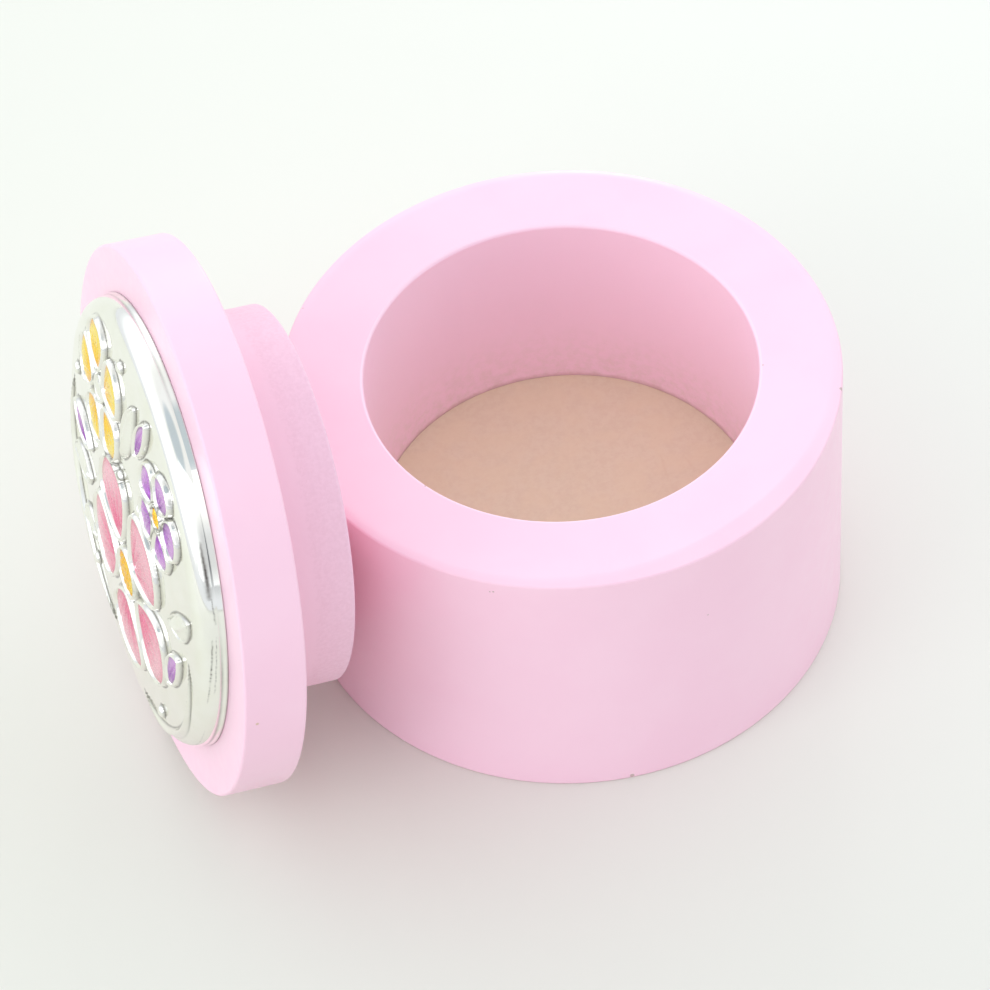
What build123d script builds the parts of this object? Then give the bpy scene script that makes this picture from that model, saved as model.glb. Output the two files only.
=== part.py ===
from build123d import *
import os
from math import cos, radians, sin

# A small round keepsake box. The cup stands upright and its lid has been taken off: the lid
# stands on its edge beside the cup and leans on the cup's rim with the end of its plug.
# Millimetres, Z up. The origin is the centre of the cup's underside, and the lid is towards -X.

# Cup
cup_radius = 30.0
cup_height = 33.7
wall_thickness = 8.9
base_thickness = 9.4
rim_rounding = 1.3
mouth_rounding = 0.3
foot_rounding = 0.4
glue_line = 0.05

# Lid
lid_setback = 0.4
lid_thickness = 6.65
lid_edge_rounding = 0.3
plug_length = 8.3
plug_clearance = 0.7
plug_edge_rounding = 0.4

# How the lid stands beside the cup
lid_lean = 6.84
lean_clearance = 0.3
lid_sideways = 1.1

# Plaque on the lid's outer face
plaque_margin = 5.25
plaque_rise = 0.4
lip_width = 0.15
lip_height = 0.5
dome_height = 3.7
dome_wall = 0.6
shoulder_radius = 2.3
silver_thickness = 0.35
adhesive_thickness = 0.1
adhesive_inset = 0.3

# Relief and enamel on the plaque
outline_height = 0.65
outline_width = 0.3
enamel_height = 0.45
stem_height = 0.55
bead_radius = 0.75
bead_height = 0.6
overrun = 2.0

# Places on the plaque are shares of the field, the round on which the relief lies.
# A flower is given as across, up, size and the turn of its first petal in degrees.
petal_count = 5
rose_shares = (0.10, -0.22, 0.58)
rose_turn = 54.0
sunflower_shares = (-0.42, 0.53, 0.35)
sunflower_turn = 42.0
pansy_shares = (0.50, 0.58, 0.26)
pansy_turn = 80.0

# A petal along +X as shares of the flower's size: root, waist, shoulder and tip
petal_root_share = 0.27
petal_waist_shares = (0.44, 0.23)
petal_shoulder_shares = (0.72, 0.40)
petal_tip_share = 1.0
petal_rounding_share = 0.2
eye_share = 0.21

# Leaves and stems are lens shapes: start, end and how far each side bows out to the left
leaf_shares = [
    ((-0.56, -0.24), (-0.88, -0.30), 0.10, -0.07),
    ((-0.44, -0.56), (-0.72, -0.62), 0.05, -0.09),
    ((0.70, 0.10), (0.93, 0.30), 0.03, -0.10),
    ((-0.02, 0.46), (0.08, 0.88), 0.08, -0.06),
]
stem_shares = [
    ((-0.95, 0.10), (-0.20, -0.93), -0.33, -0.28),
    ((0.94, 0.02), (0.24, -0.93), 0.30, 0.25),
]
bud_shares = [
    ((0.72, -0.34), (0.84, -0.06), 0.07, -0.04),
    ((-0.56, -0.02), (-0.86, 0.02), 0.07, -0.06),
    ((0.16, 0.66), (0.26, 0.94), 0.05, -0.04),
]
bead_shares = [(-0.16, 0.92), (-0.05, 0.30), (0.24, 0.36), (-0.86, 0.24), (0.56, -0.74), (-0.52, -0.78)]

# What follows from the sizes above
lean = radians(lid_lean)
bore_radius = cup_radius - wall_thickness
plug_radius = bore_radius - plug_clearance
lid_radius = cup_radius - lid_setback
lip_radius = lid_radius - plaque_margin
field_radius = lip_radius - lip_width - shoulder_radius

# The dome's crown is the sphere that meets the round shoulder smoothly
crown_drop = dome_height - dome_wall
crown_square = (field_radius**2 + crown_drop**2 - shoulder_radius**2) / 2
crown_radius = crown_square / (crown_drop - shoulder_radius)
crown_centre = dome_height - crown_radius
crown_tilt = Vector(field_radius, dome_wall - crown_centre).normalized()
crown_halfway = (crown_tilt + Vector(0, 1)).normalized()
shoulder_halfway = (crown_tilt + Vector(1, 0)).normalized()

# The lid's back edge rests on the table, and the plug's end stops just short of the rim
out = Vector(-cos(lean), 0, sin(lean))
lid_right = Vector(0, -1, 0)
lid_up = out.cross(lid_right)
back_up = (lid_radius - lid_edge_rounding) * cos(lean) + lid_edge_rounding * (1 - sin(lean))
rim_drop = cup_height - rim_rounding - back_up
rim_reach = plug_length + lean_clearance + rim_rounding + rim_drop * sin(lean)
back_across = -(cup_radius - rim_rounding) - rim_reach / cos(lean)
back_centre = Vector(back_across, -lid_sideways, back_up)
face_centre = back_centre + out * lid_thickness
plaque_seat = face_centre + lid_up * plaque_rise
plaque_centre = plaque_seat + out * adhesive_thickness

# Planes looked at from outside the lid: X is to the right and Y is up along the lid
back_plane = Plane(origin=back_centre, x_dir=lid_right, z_dir=out)
seat_plane = Plane(origin=plaque_seat, x_dir=lid_right, z_dir=out)
plaque_plane = Plane(origin=plaque_centre, x_dir=lid_right, z_dir=out)
plaque_section = Plane(origin=plaque_centre, x_dir=lid_right, z_dir=-plaque_plane.y_dir)
plaque_axis = Axis(plaque_centre, out)


def dome(lift):
    """The plaque's dome down to the plane under it, with its surface moved out by lift."""
    centre = Vector(0, crown_centre)
    shoulder_centre = Vector(field_radius, dome_wall)
    top = Vector(0, dome_height + lift)
    middle = centre + crown_halfway * (crown_radius + lift)
    meet = centre + crown_tilt * (crown_radius + lift)
    bend = shoulder_centre + shoulder_halfway * (shoulder_radius + lift)
    wall_top = shoulder_centre + Vector(shoulder_radius + lift, 0)
    wall_foot = Vector(wall_top.X, 0)
    with BuildPart() as solid:
        with BuildSketch(plaque_section):
            with BuildLine():
                Polyline(top, (0, 0), wall_foot, wall_top)
                ThreePointArc(wall_top, bend, meet)
                ThreePointArc(meet, middle, top)
            make_face()
        revolve(axis=plaque_axis)
    return solid.part


def petal(size):
    """One petal of a flower, along +X from the flower's centre."""
    waist = (petal_waist_shares[0] * size, petal_waist_shares[1] * size)
    shoulder = (petal_shoulder_shares[0] * size, petal_shoulder_shares[1] * size)
    root = (petal_root_share * size, 0)
    tip = (petal_tip_share * size, 0)
    low_waist = (waist[0], -waist[1])
    low_shoulder = (shoulder[0], -shoulder[1])
    with BuildSketch() as shape:
        with BuildLine():
            ThreePointArc(root, waist, shoulder)
            ThreePointArc(shoulder, tip, low_shoulder)
            ThreePointArc(low_shoulder, low_waist, root)
        make_face()
        shoulders = shape.vertices().group_by(Axis.X)[-1]
        fillet(shoulders, radius=petal_rounding_share * size)
    return shape.sketch


def petals(shares, turn):
    """The petals of one flower, at its place on the plaque."""
    across, up, size = (share * field_radius for share in shares)
    one = petal(size)
    with BuildSketch() as shape:
        with Locations((across, up)):
            with PolarLocations(0, petal_count, turn):
                add(one)
    return shape.sketch


def eye(shares):
    """The round middle of one flower."""
    across, up, size = (share * field_radius for share in shares)
    with BuildSketch() as shape:
        with Locations((across, up)):
            Circle(eye_share * size)
    return shape.sketch


def bead(shares):
    """A small round bead."""
    with BuildSketch() as shape:
        with Locations((shares[0] * field_radius, shares[1] * field_radius)):
            Circle(bead_radius)
    return shape.sketch


def lens(shares):
    """A leaf or a stem: two arcs from start to end, each bowed by its own share."""
    start = Vector(*shares[0]) * field_radius
    end = Vector(*shares[1]) * field_radius
    middle = (start + end) / 2
    along = (end - start).normalized()
    left = Vector(-along.Y, along.X)
    with BuildSketch() as shape:
        with BuildLine():
            ThreePointArc(start, middle + left * shares[2] * field_radius, end)
            ThreePointArc(end, middle + left * shares[3] * field_radius, start)
        make_face()
    return shape.sketch


def raised(sketches, lift):
    """Solids over the sketches, from the plaque's plane up to its surface moved by lift."""
    with BuildPart() as solid:
        with BuildSketch(plaque_plane):
            for one in sketches:
                add(one)
        extrude(amount=dome_height + lift + overrun)
        add(dome(lift), mode=Mode.INTERSECT)
    return solid.part


def outlined(sketches):
    """The sketches grown by the width of a raised outline."""
    grown = []
    for one in sketches:
        with BuildSketch() as shape:
            add(one)
            offset(amount=outline_width)
        grown.append(shape.sketch)
    return grown


pink_fills = [petals(rose_shares, rose_turn)]
yellow_fills = [petals(sunflower_shares, sunflower_turn), eye(rose_shares), eye(pansy_shares)]
violet_fills = [petals(pansy_shares, pansy_turn)] + [lens(bud) for bud in bud_shares]
fills = pink_fills + yellow_fills + violet_fills
sprays = [lens(leaf) for leaf in leaf_shares] + [lens(stem) for stem in stem_shares]
sprays.append(eye(sunflower_shares))
beads = [bead(shares) for shares in bead_shares]

os.makedirs("parts", exist_ok=True)

# Cup: the turned ring
with BuildPart() as cup_ring:
    with BuildSketch():
        Circle(cup_radius)
        Circle(bore_radius, mode=Mode.SUBTRACT)
    extrude(amount=cup_height)
    rounds = cup_ring.edges().filter_by(GeomType.CIRCLE)
    foot, rim = rounds.filter_by(lambda edge: edge.radius > bore_radius).sort_by(Axis.Z)
    mouth = rounds.filter_by(lambda edge: edge.radius < cup_radius).sort_by(Axis.Z)[-1]
    fillet(rim, radius=rim_rounding)
    fillet(foot, radius=foot_rounding)
    fillet(mouth, radius=mouth_rounding)
cup_ring.part.label = "cup_ring"
export_step(cup_ring.part, "parts/cup_ring.step")

# Cup: the bare round that closes the ring's lower end
with BuildPart() as cup_base:
    with BuildSketch():
        Circle(bore_radius - glue_line)
    extrude(amount=base_thickness)
cup_base.part.label = "cup_base"
export_step(cup_base.part, "parts/cup_base.step")

# Lid: the turned disc, its back face towards the cup
with BuildPart() as lid_disc:
    with BuildSketch(back_plane):
        Circle(lid_radius)
    extrude(amount=lid_thickness)
    fillet(lid_disc.edges().filter_by(GeomType.CIRCLE), radius=lid_edge_rounding)
lid_disc.part.label = "lid_disc"
export_step(lid_disc.part, "parts/lid_disc.step")

# Lid: the plug on the disc's back
with BuildPart() as lid_plug:
    with BuildSketch(back_plane):
        Circle(plug_radius)
    extrude(amount=-plug_length)
    plug_end = lid_plug.edges().filter_by(GeomType.CIRCLE).sort_by(Axis(back_centre, out))[0]
    fillet(plug_end, radius=plug_edge_rounding)
lid_plug.part.label = "lid_plug"
export_step(lid_plug.part, "parts/lid_plug.step")

# Plaque: the film that holds it on the lid
with BuildPart() as plaque_adhesive:
    with BuildSketch(seat_plane):
        Circle(lip_radius - adhesive_inset)
    extrude(amount=adhesive_thickness)
plaque_adhesive.part.label = "plaque_adhesive"
export_step(plaque_adhesive.part, "parts/plaque_adhesive.step")

# Plaque: the filler under the thin sheet
with BuildPart() as plaque_backing:
    add(dome(-silver_thickness))
plaque_backing.part.label = "plaque_backing"
export_step(plaque_backing.part, "parts/plaque_backing.step")

# Plaque: the stamped sheet with its flat lip, raised outlines, leaves, stems and beads
with BuildPart() as plaque_silver:
    add(dome(0))
    with BuildSketch(plaque_plane):
        Circle(lip_radius)
    extrude(amount=lip_height)
    add(raised(outlined(fills), outline_height))
    add(raised(sprays, stem_height))
    add(raised(beads, bead_height))
    add(raised(fills, outline_height) - dome(0), mode=Mode.SUBTRACT)
    add(dome(-silver_thickness), mode=Mode.SUBTRACT)
plaque_silver.part.label = "plaque_silver"
export_step(plaque_silver.part, "parts/plaque_silver.step")

# Enamel: translucent fills inside the raised outlines
for colour, sketches in {"pink": pink_fills, "yellow": yellow_fills, "violet": violet_fills}.items():
    with BuildPart() as enamel:
        add(raised(sketches, enamel_height))
        add(dome(0), mode=Mode.SUBTRACT)
    enamel.part.label = f"{colour}_enamel"
    export_step(enamel.part, f"parts/{colour}_enamel.step")
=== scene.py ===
import math

import bpy
import numpy as np
from mathutils import Matrix, Vector, noise


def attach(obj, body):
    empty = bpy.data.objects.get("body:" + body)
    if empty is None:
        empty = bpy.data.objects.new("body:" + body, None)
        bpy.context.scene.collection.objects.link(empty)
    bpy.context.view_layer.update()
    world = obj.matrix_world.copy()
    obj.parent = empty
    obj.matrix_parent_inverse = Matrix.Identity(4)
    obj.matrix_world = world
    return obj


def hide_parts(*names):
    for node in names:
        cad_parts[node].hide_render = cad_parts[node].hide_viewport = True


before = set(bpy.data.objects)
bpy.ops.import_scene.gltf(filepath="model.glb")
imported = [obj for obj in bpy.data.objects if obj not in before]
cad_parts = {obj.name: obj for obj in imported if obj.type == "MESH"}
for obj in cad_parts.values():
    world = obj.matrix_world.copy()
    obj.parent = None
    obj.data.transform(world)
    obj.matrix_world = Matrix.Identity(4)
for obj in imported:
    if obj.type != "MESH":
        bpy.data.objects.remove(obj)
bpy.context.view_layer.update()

MM = 0.001
FAR = 1e9

# Sizes of the pieces, in millimetres: the construction's, with finer edges, seams and relief
CUP_RADIUS = 30.0
CUP_HEIGHT = 33.7
BORE_RADIUS = 21.1
BASE_THICKNESS = 9.4
RIM_ROUNDING = 1.3
RIM_EDGE_ROUNDING = 0.2
MOUTH_ROUNDING = 0.4
FOOT_ROUNDING = 0.4
GLUE_LINE = 0.015
LID_RADIUS = 29.6
LID_THICKNESS = 6.65
LID_EDGE_ROUNDING = 0.3
PLUG_RADIUS = 20.4
PLUG_LENGTH = 8.3
PLUG_EDGE_ROUNDING = 0.4
LIP_RADIUS = 24.35
LIP_WIDTH = 0.15
DOME_HEIGHT = 3.7
DOME_WALL = 0.6
SHOULDER_RADIUS = 2.3
PLAQUE_RISE = 0.4
SILVER_THICKNESS = 0.35
ADHESIVE_THICKNESS = 0.1
ADHESIVE_INSET = 0.04
OUTLINE_HEIGHT = 0.65
ENAMEL_HEIGHT = 0.52
STEM_HEIGHT = 0.7
BEAD_RADIUS = 0.75
BEAD_HEIGHT = 0.6

# The brow, where the rim's top falls away: its start, how much nearer in at one bearing and
# over how many degrees, how softly it bends there and elsewhere, and its slope
BROW_RADIUS = 28.8
BROW_REACH = 0.9
BROW_BEARING = -70.0
BROW_SPREAD = 32.0
BROW_BEND = 0.35
BROW_WIDER_BEND = 0.95
BROW_SLOPE = 0.35

# How the lid stands
LID_LEAN = 6.84
LEAN_CLEARANCE = 0.3
LID_SIDEWAYS = 1.1

# How uneven the surfaces are: the wall's waves, the fibres low in the bore, the plug's skin
WALL_WAVE = 0.015
FIBRE_DEPTH = 0.16
FIBRE_MIDDLE = 0.8
FIBRE_REACH = 8
SKIN_DEPTH = 0.03
SKIN_SINK = 0.02

# The flowers on the plaque, in shares of the field: across, up, size, then the turn in degrees
PETAL_COUNT = 5
ROSE = (0.10, -0.22, 0.58, 54.0)
SUNFLOWER = (-0.42, 0.53, 0.35, 42.0)
PANSY = (0.50, 0.58, 0.26, 80.0)
FLOWERS = (ROSE, SUNFLOWER, PANSY)
PETAL_SHARES = ((0.27, 0), (0.44, 0.23), (0.72, 0.40), (1, 0))
EYE_SHARE = 0.21

# Leaves, stems and buds, in shares of the field: start, end and how far each side is bowed
LEAVES = [
    ((-0.56, -0.24), (-0.88, -0.30), 0.10, -0.07),
    ((-0.44, -0.56), (-0.72, -0.62), 0.05, -0.09),
    ((0.70, 0.10), (0.93, 0.30), 0.03, -0.10),
    ((-0.02, 0.46), (0.08, 0.88), 0.08, -0.06),
]
STEMS = [
    ((-0.95, 0.10), (-0.20, -0.93), -0.33, -0.28),
    ((0.94, 0.02), (0.24, -0.93), 0.30, 0.25),
]
BUDS = [
    ((0.72, -0.34), (0.84, -0.06), 0.07, -0.04),
    ((-0.56, -0.02), (-0.86, 0.02), 0.07, -0.06),
    ((0.16, 0.66), (0.26, 0.94), 0.05, -0.04),
]
BEADS = [(-0.16, 0.92), (-0.05, 0.30), (0.24, 0.36), (-0.86, 0.24), (0.56, -0.74), (-0.52, -0.78)]

# Streaks of tarnish on the plaque's shoulder: bearing and height at each end, the width at
# each end, the depth of tone, and how broken the streak is
TARNISH = [
    ((41.5, 1.29), (26.5, 1.26), 0.12, 0.26, 1.0, 0.1),
    ((30.0, 1.12), (20.0, 0.95), 0.04, 0.09, 0.8, 0.5),
    ((16.0, 1.39), (1.5, 1.76), 0.06, 0.10, 1.0, 0.6),
    ((1.5, 1.76), (-6.0, 1.93), 0.07, 0.05, 0.9, 0.8),
    ((17.0, 0.98), (-2.0, 1.33), 0.04, 0.05, 0.8, 0.7),
    ((-20.0, 1.70), (-42.0, 1.60), 0.04, 0.05, 0.6, 0.9),
    ((-32.0, 1.20), (-52.0, 1.10), 0.04, 0.04, 0.6, 0.8),
    ((168.0, 1.50), (196.0, 1.20), 0.05, 0.07, 0.7, 0.7),
    ((228.0, 1.05), (246.0, 1.30), 0.04, 0.05, 0.7, 0.8),
]

# The creases at the lip's top and foot, tarnish with painted shade that follows how the light falls round
# the lip: how dark by bearing, then their depth and widths
LIP_SHADE_BY_BEARING = (
    (-90, 0.9), (-30, 0.8), (5, 0.6), (18, 0.15), (26, 0.0), (66, 0.0), (78, 0.3), (95, 0.5), (180, 0.6)
)
LIP_CREASE = 0.8
LIP_TOP_WIDTH = 0.16
LIP_FOOT_WIDTH = 0.12

# The relief: outlines round the fills, leaves with their veins, creases, and where it fades out
FIELD_RADIUS = LIP_RADIUS - LIP_WIDTH - SHOULDER_RADIUS
RIDGE_PLACE = 0.14
RIDGE_HALF = 0.32
CREST_SOFTNESS = 0.12
VEIN_GAP = 0.95
VEIN_DEPTH = 0.05
MIDRIB_HALF = 0.16
MIDRIB_HEIGHT = 0.16
LEAF_EDGE_HALF = 0.2
LEAF_EDGE_HEIGHT = 0.42
CREASE_TONE = 0.75
RELIEF_REACH = 1.2
RELIEF_FADE = 0.8

# The enamel's tops: grooves in the petals, seeds in the eyes, a crease in the buds, and grain
GROOVE_LEANS = (-0.42, -0.14, 0.14, 0.42)
GROOVE_DEPTH = 0.13
SEED_COUNT = 34
SEED_RADIUS = 0.14
SEED_HEIGHT = 0.14
BUD_CREASE = 0.12
GRAIN_DEPTH = 0.035
FILL_SINK = 0.03

# The cut boss: its facets, its share of the eye, and each row's share, height and turn
BOSS_FACETS = 12
BOSS_WIDTH = 0.86
BOSS_ROWS = ((1, -0.1, 0.0), (1, 0.18, 0.0), (0.74, 0.46, 0.5), (0.4, 0.62, 0.0))

# How finely the meshes are divided
SEGMENTS = 360
ARC_STEPS = 8
CROWN_ROWS = 400
SHOULDER_ROWS = 60
WALL_ROW = CROWN_ROWS + SHOULDER_ROWS - 2
CROWN_RINGS = 200
SHOULDER_RINGS = 40
LIP_RINGS = 18
PETAL_RINGS = 24
PETAL_STEPS = 144


def lid_matrix(along, rise=0):
    """A frame on the lid's axis, so far out from its back face and so far up: X right, Y up, Z out."""
    lean = math.radians(LID_LEAN)
    out = Vector((-math.cos(lean), 0, math.sin(lean)))
    edge = LID_EDGE_ROUNDING
    up = (LID_RADIUS - edge) * math.cos(lean) + edge * (1 - math.sin(lean))
    drop = CUP_HEIGHT - RIM_ROUNDING - up
    reach = PLUG_LENGTH + LEAN_CLEARANCE + RIM_ROUNDING + drop * math.sin(lean)
    across = -(CUP_RADIUS - RIM_ROUNDING) - reach / math.cos(lean)
    place = Vector((across, -LID_SIDEWAYS, up)) + out * along
    right = Vector((0, -1, 0))
    place += out.cross(right) * rise
    axes = Matrix((right, out.cross(right), out)).transposed().to_4x4()
    return Matrix.Translation(place * MM) @ axes


# Small helpers

def unit(way):
    """The same direction, 1 long."""
    return way / np.linalg.norm(way)


def heading(angle):
    """The direction at an angle."""
    return np.array((math.cos(angle), math.sin(angle)))


def polar(radius, angle):
    """Flat points at radii and angles."""
    return np.column_stack([radius * np.cos(angle), radius * np.sin(angle)])


def full_turn(count):
    """Angles that share a full turn evenly."""
    return np.arange(count) * math.tau / count


def turn_from(start, bearing):
    """How many degrees a bearing lies on from another, -180 to 180."""
    return (bearing - start + 180) % 360 - 180


def next_round(count):
    """Each place on a ring with the one after it."""
    return [(k, (k + 1) % count) for k in range(count)]


def closed(outline):
    """The outline with its first point again at its end."""
    return np.vstack([outline, outline[:1]])


def noise_at(places):
    """Noise from -1 to 1 at each place."""
    return np.array([noise.noise(Vector(place)) for place in places])


def placed(name, data):
    """A new object in the scene."""
    made = bpy.data.objects.new(name, data)
    bpy.context.scene.collection.objects.link(made)
    return made


# Mesh pieces

def piece(name, points, faces, body, replaced=None, matrix=None, values=None):
    """A smooth mesh piece from points in millimetres, riding on a body."""
    mesh = bpy.data.meshes.new(name)
    mesh.from_pydata(np.asarray(points, float) * MM, [], faces)
    if matrix is not None:
        mesh.transform(matrix)
    mesh.update()
    mesh.shade_smooth()
    for key, numbers in (values or {}).items():
        layer = mesh.attributes.new(key, "FLOAT", "POINT")
        layer.data.foreach_set("value", np.asarray(numbers, np.float32))
    obj = placed(name, mesh)
    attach(obj, body)
    if replaced:
        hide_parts(replaced)
    return obj


def rounded(corners, radii):
    """A profile's corners with each one rounded, and one more point beside each arc's ends."""
    points = []
    count = len(corners)
    for i, radius in enumerate(radii):
        here = np.array(corners[i], float)
        if radius == 0:
            points.append(tuple(here))
            continue
        before = unit(np.array(corners[i - 1], float) - here)
        after = unit(np.array(corners[(i + 1) % count], float) - here)
        half = math.acos(float(before @ after)) / 2
        reach = radius / math.tan(half)
        middle = here + unit(before + after) * radius / math.sin(half)
        first = here + before * reach - middle
        last = here + after * reach - middle
        sweep = math.pi - 2 * half
        beside = min(radius * 0.15, 0.02)
        points.append(tuple(middle + first + before * beside))
        for step in range(ARC_STEPS + 1):
            share = step / ARC_STEPS
            swung = first * math.sin((1 - share) * sweep) + last * math.sin(share * sweep)
            points.append(tuple(middle + swung / math.sin(sweep)))
        points.append(tuple(middle + last + after * beside))
    return points


def divided(points, gap, lower=-FAR, upper=FAR):
    """The profile with points added every gap on its upright runs between two heights."""
    longer = []
    for here, there in zip(points, points[1:] + points[:1]):
        longer.append(here)
        run = there[1] - here[1]
        if abs(there[0] - here[0]) > 1e-6 or abs(run) < 2 * gap:
            continue
        count = int(abs(run) / gap)
        heights = [here[1] + run * step / count for step in range(1, count)]
        longer += [(here[0], height) for height in heights if lower < height < upper]
    return longer


def levelled(points, gap, inner):
    """The profile with points added every gap on its level top, out from a radius."""
    longer = []
    for here, there in zip(points, points[1:] + points[:1]):
        longer.append(here)
        if here[1] < CUP_HEIGHT - 1e-6 or here[0] - there[0] < 1:
            continue
        count = int((here[0] - inner) / gap)
        longer += [(here[0] - gap * step, here[1]) for step in range(1, count)]
    return longer


def slab(radius, height):
    """A disc's profile: from beside its axis out, up and back."""
    beside = 0.5
    return [(beside, 0), (radius, 0), (radius, height), (beside, height)]


def turned(name, profile, body, replaced=None, matrix=None, relief=None, capped=True):
    """A turned piece. A capped profile runs from beside the axis out, up and back."""
    angles = full_turn(SEGMENTS)
    points = [
        (radius * math.cos(angle), radius * math.sin(angle), height)
        for radius, height in profile
        for angle in angles
    ]
    if relief:
        points = [Vector(point) + relief(Vector(point)) for point in points]
    rows = len(profile)
    faces = []
    for row in range(rows - 1 if capped else rows):
        lower, upper = row * SEGMENTS, (row + 1) % rows * SEGMENTS
        for k, after in next_round(SEGMENTS):
            faces.append((lower + k, lower + after, upper + after, upper + k))
    if capped:
        foot, top = len(points), len(points) + 1
        points += [(0, 0, profile[0][1]), (0, 0, profile[-1][1])]
        last = (rows - 1) * SEGMENTS
        for k, after in next_round(SEGMENTS):
            faces += [(foot, after, k), (top, last + k, last + after)]
    return piece(name, points, faces, body, replaced, matrix)


def radial(point, depth):
    """A push along the radius, outwards where depth is positive."""
    flat = Vector((point.x, point.y, 0))
    return flat.normalized() * depth if flat.length else flat


def brow_drop(point):
    """How far the rim's top falls away towards its edge; the fall starts nearer in at one side."""
    turn = turn_from(BROW_BEARING, math.degrees(math.atan2(point.y, point.x)))
    near = math.exp(-((turn / BROW_SPREAD) ** 2))
    over = math.hypot(point.x, point.y) - BROW_RADIUS + BROW_REACH * near
    length = BROW_WIDER_BEND + (BROW_BEND - BROW_WIDER_BEND) * near
    bend = min(max(over, 0), length)
    return BROW_SLOPE * (bend**2 / (2 * length) + max(over - length, 0))


def rough(point, coarse, fine):
    """Noise from -1 to 1 in two sizes, the coarse one stronger."""
    return noise.noise(point * coarse) * 0.6 + noise.noise(point * fine) * 0.4


def cup_relief(point):
    """The brow, the wall's very slight waves, and the fibres that show low in the bore."""
    radius = math.hypot(point.x, point.y)
    drop = Vector((0, 0, -brow_drop(point) if point.z > CUP_HEIGHT - 0.5 else 0))
    if radius > CUP_RADIUS - 0.1:
        return drop + radial(point, noise.noise(point * 0.09) * WALL_WAVE - WALL_WAVE)
    if radius > BORE_RADIUS + 0.01:
        return drop
    above = point.z - BASE_THICKNESS
    low = 1 - min(abs(above - FIBRE_MIDDLE) / FIBRE_REACH, 1)
    low *= min(max(above, 0), 1)
    return radial(point, low * abs(rough(point, 1.1, 2.7)) * FIBRE_DEPTH)


def plug_relief(point):
    """The plug's side keeps the coarse skin of the cut board."""
    if math.hypot(point.x, point.y) < PLUG_RADIUS - 0.02:
        return Vector((0, 0, 0))
    stretched = Vector((point.x, point.y, point.z * 0.8))
    return radial(point, rough(stretched, 0.8, 2.3) * SKIN_DEPTH - SKIN_SINK)


def make_cup():
    """The painted ring and the bare board that closes it."""
    corners = [(BORE_RADIUS, 0), (CUP_RADIUS, 0), (CUP_RADIUS, CUP_HEIGHT), (BORE_RADIUS, CUP_HEIGHT)]
    profile = rounded(corners, [0.1, FOOT_ROUNDING, RIM_EDGE_ROUNDING, MOUTH_ROUNDING])
    profile = divided(divided(profile, 3), 0.3, BASE_THICKNESS - 1, BASE_THICKNESS + 7)
    profile = levelled(profile, 0.1, BROW_RADIUS - BROW_REACH - 0.2)
    ring = turned("cup_ring_turned", profile, "box", "cup_ring", relief=cup_relief, capped=False)
    profile = rounded(slab(BORE_RADIUS - GLUE_LINE, BASE_THICKNESS), [0, 0.1, 0.04, 0])
    base = turned("cup_base_board", profile, "box", "cup_base")
    return ring, base


def make_lid():
    """The painted disc with its plug, and the film under the plaque."""
    roundings = [0, LID_EDGE_ROUNDING, LID_EDGE_ROUNDING, 0]
    profile = divided(rounded(slab(LID_RADIUS, LID_THICKNESS), roundings), 1)
    disc = turned("lid_disc_turned", profile, "lid", "lid_disc", lid_matrix(0))
    roundings = [0, PLUG_EDGE_ROUNDING, 0.05, 0]
    profile = divided(rounded(slab(PLUG_RADIUS, PLUG_LENGTH), roundings), 0.25)
    plug = turned("lid_plug_turned", profile, "lid", "lid_plug", lid_matrix(-PLUG_LENGTH), plug_relief)
    profile = slab(LIP_RADIUS - ADHESIVE_INSET, ADHESIVE_THICKNESS)
    seat = lid_matrix(LID_THICKNESS, PLAQUE_RISE)
    film = turned("plaque_film", profile, "lid", "plaque_adhesive", seat)
    return disc, plug, film


# Plaque: outlines in millimetres, seen from outside the lid

def arc(start, through, end, steps=24):
    """Points on the arc from start to end through a third point, without the end."""
    a, b, c = (complex(*p) for p in (start, through, end))
    w = (c - a) / (b - a)
    middle = (b - a) * (w - abs(w) ** 2) / (2j * w.imag) + a

    def angle_to(point):
        way = (point - middle) / (a - middle)
        return math.atan2(way.imag, way.real) % math.tau

    sweep = angle_to(c)
    if angle_to(b) > sweep:
        sweep -= math.tau
    spokes = [(a - middle) * complex(math.cos(t), math.sin(t)) for t in np.arange(steps) * sweep / steps]
    return [((middle + spoke).real, (middle + spoke).imag) for spoke in spokes]


def evenly(points, count):
    """A closed outline walked again in equal steps."""
    whole = closed(points)
    lengths = np.concatenate([[0], np.cumsum(np.linalg.norm(np.diff(whole, axis=0), axis=1))])
    wanted = np.arange(count) * lengths[-1] / count
    return np.column_stack([np.interp(wanted, lengths, whole[:, k]) for k in (0, 1)])


def softened(points, rounds):
    """The outline with its corners worn round."""
    for _ in range(rounds):
        points = (np.roll(points, 1, 0) + 2 * points + np.roll(points, -1, 0)) / 4
    return points


def petal_outline():
    """One petal of size 1 along +X."""
    root, waist, shoulder, tip = PETAL_SHARES
    low_waist, low_shoulder = (waist[0], -waist[1]), (shoulder[0], -shoulder[1])
    outline = arc(root, waist, shoulder)
    outline += arc(shoulder, tip, low_shoulder)
    outline += arc(low_shoulder, low_waist, root)
    return softened(evenly(np.array(outline), PETAL_STEPS), 30)


def flower_petals(flower):
    """Each petal's outline with its place, its turn and its size."""
    across, up, share, turn = flower
    size = share * FIELD_RADIUS
    centre = np.array((across, up)) * FIELD_RADIUS
    shape = petal_outline() * size
    made = []
    for k in range(PETAL_COUNT):
        angle = math.radians(turn + 360 / PETAL_COUNT * k)
        spin = np.array([[math.cos(angle), math.sin(angle)], [-math.sin(angle), math.cos(angle)]])
        made.append({"outline": shape @ spin + centre, "centre": centre, "angle": angle, "size": size})
    return made


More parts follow.
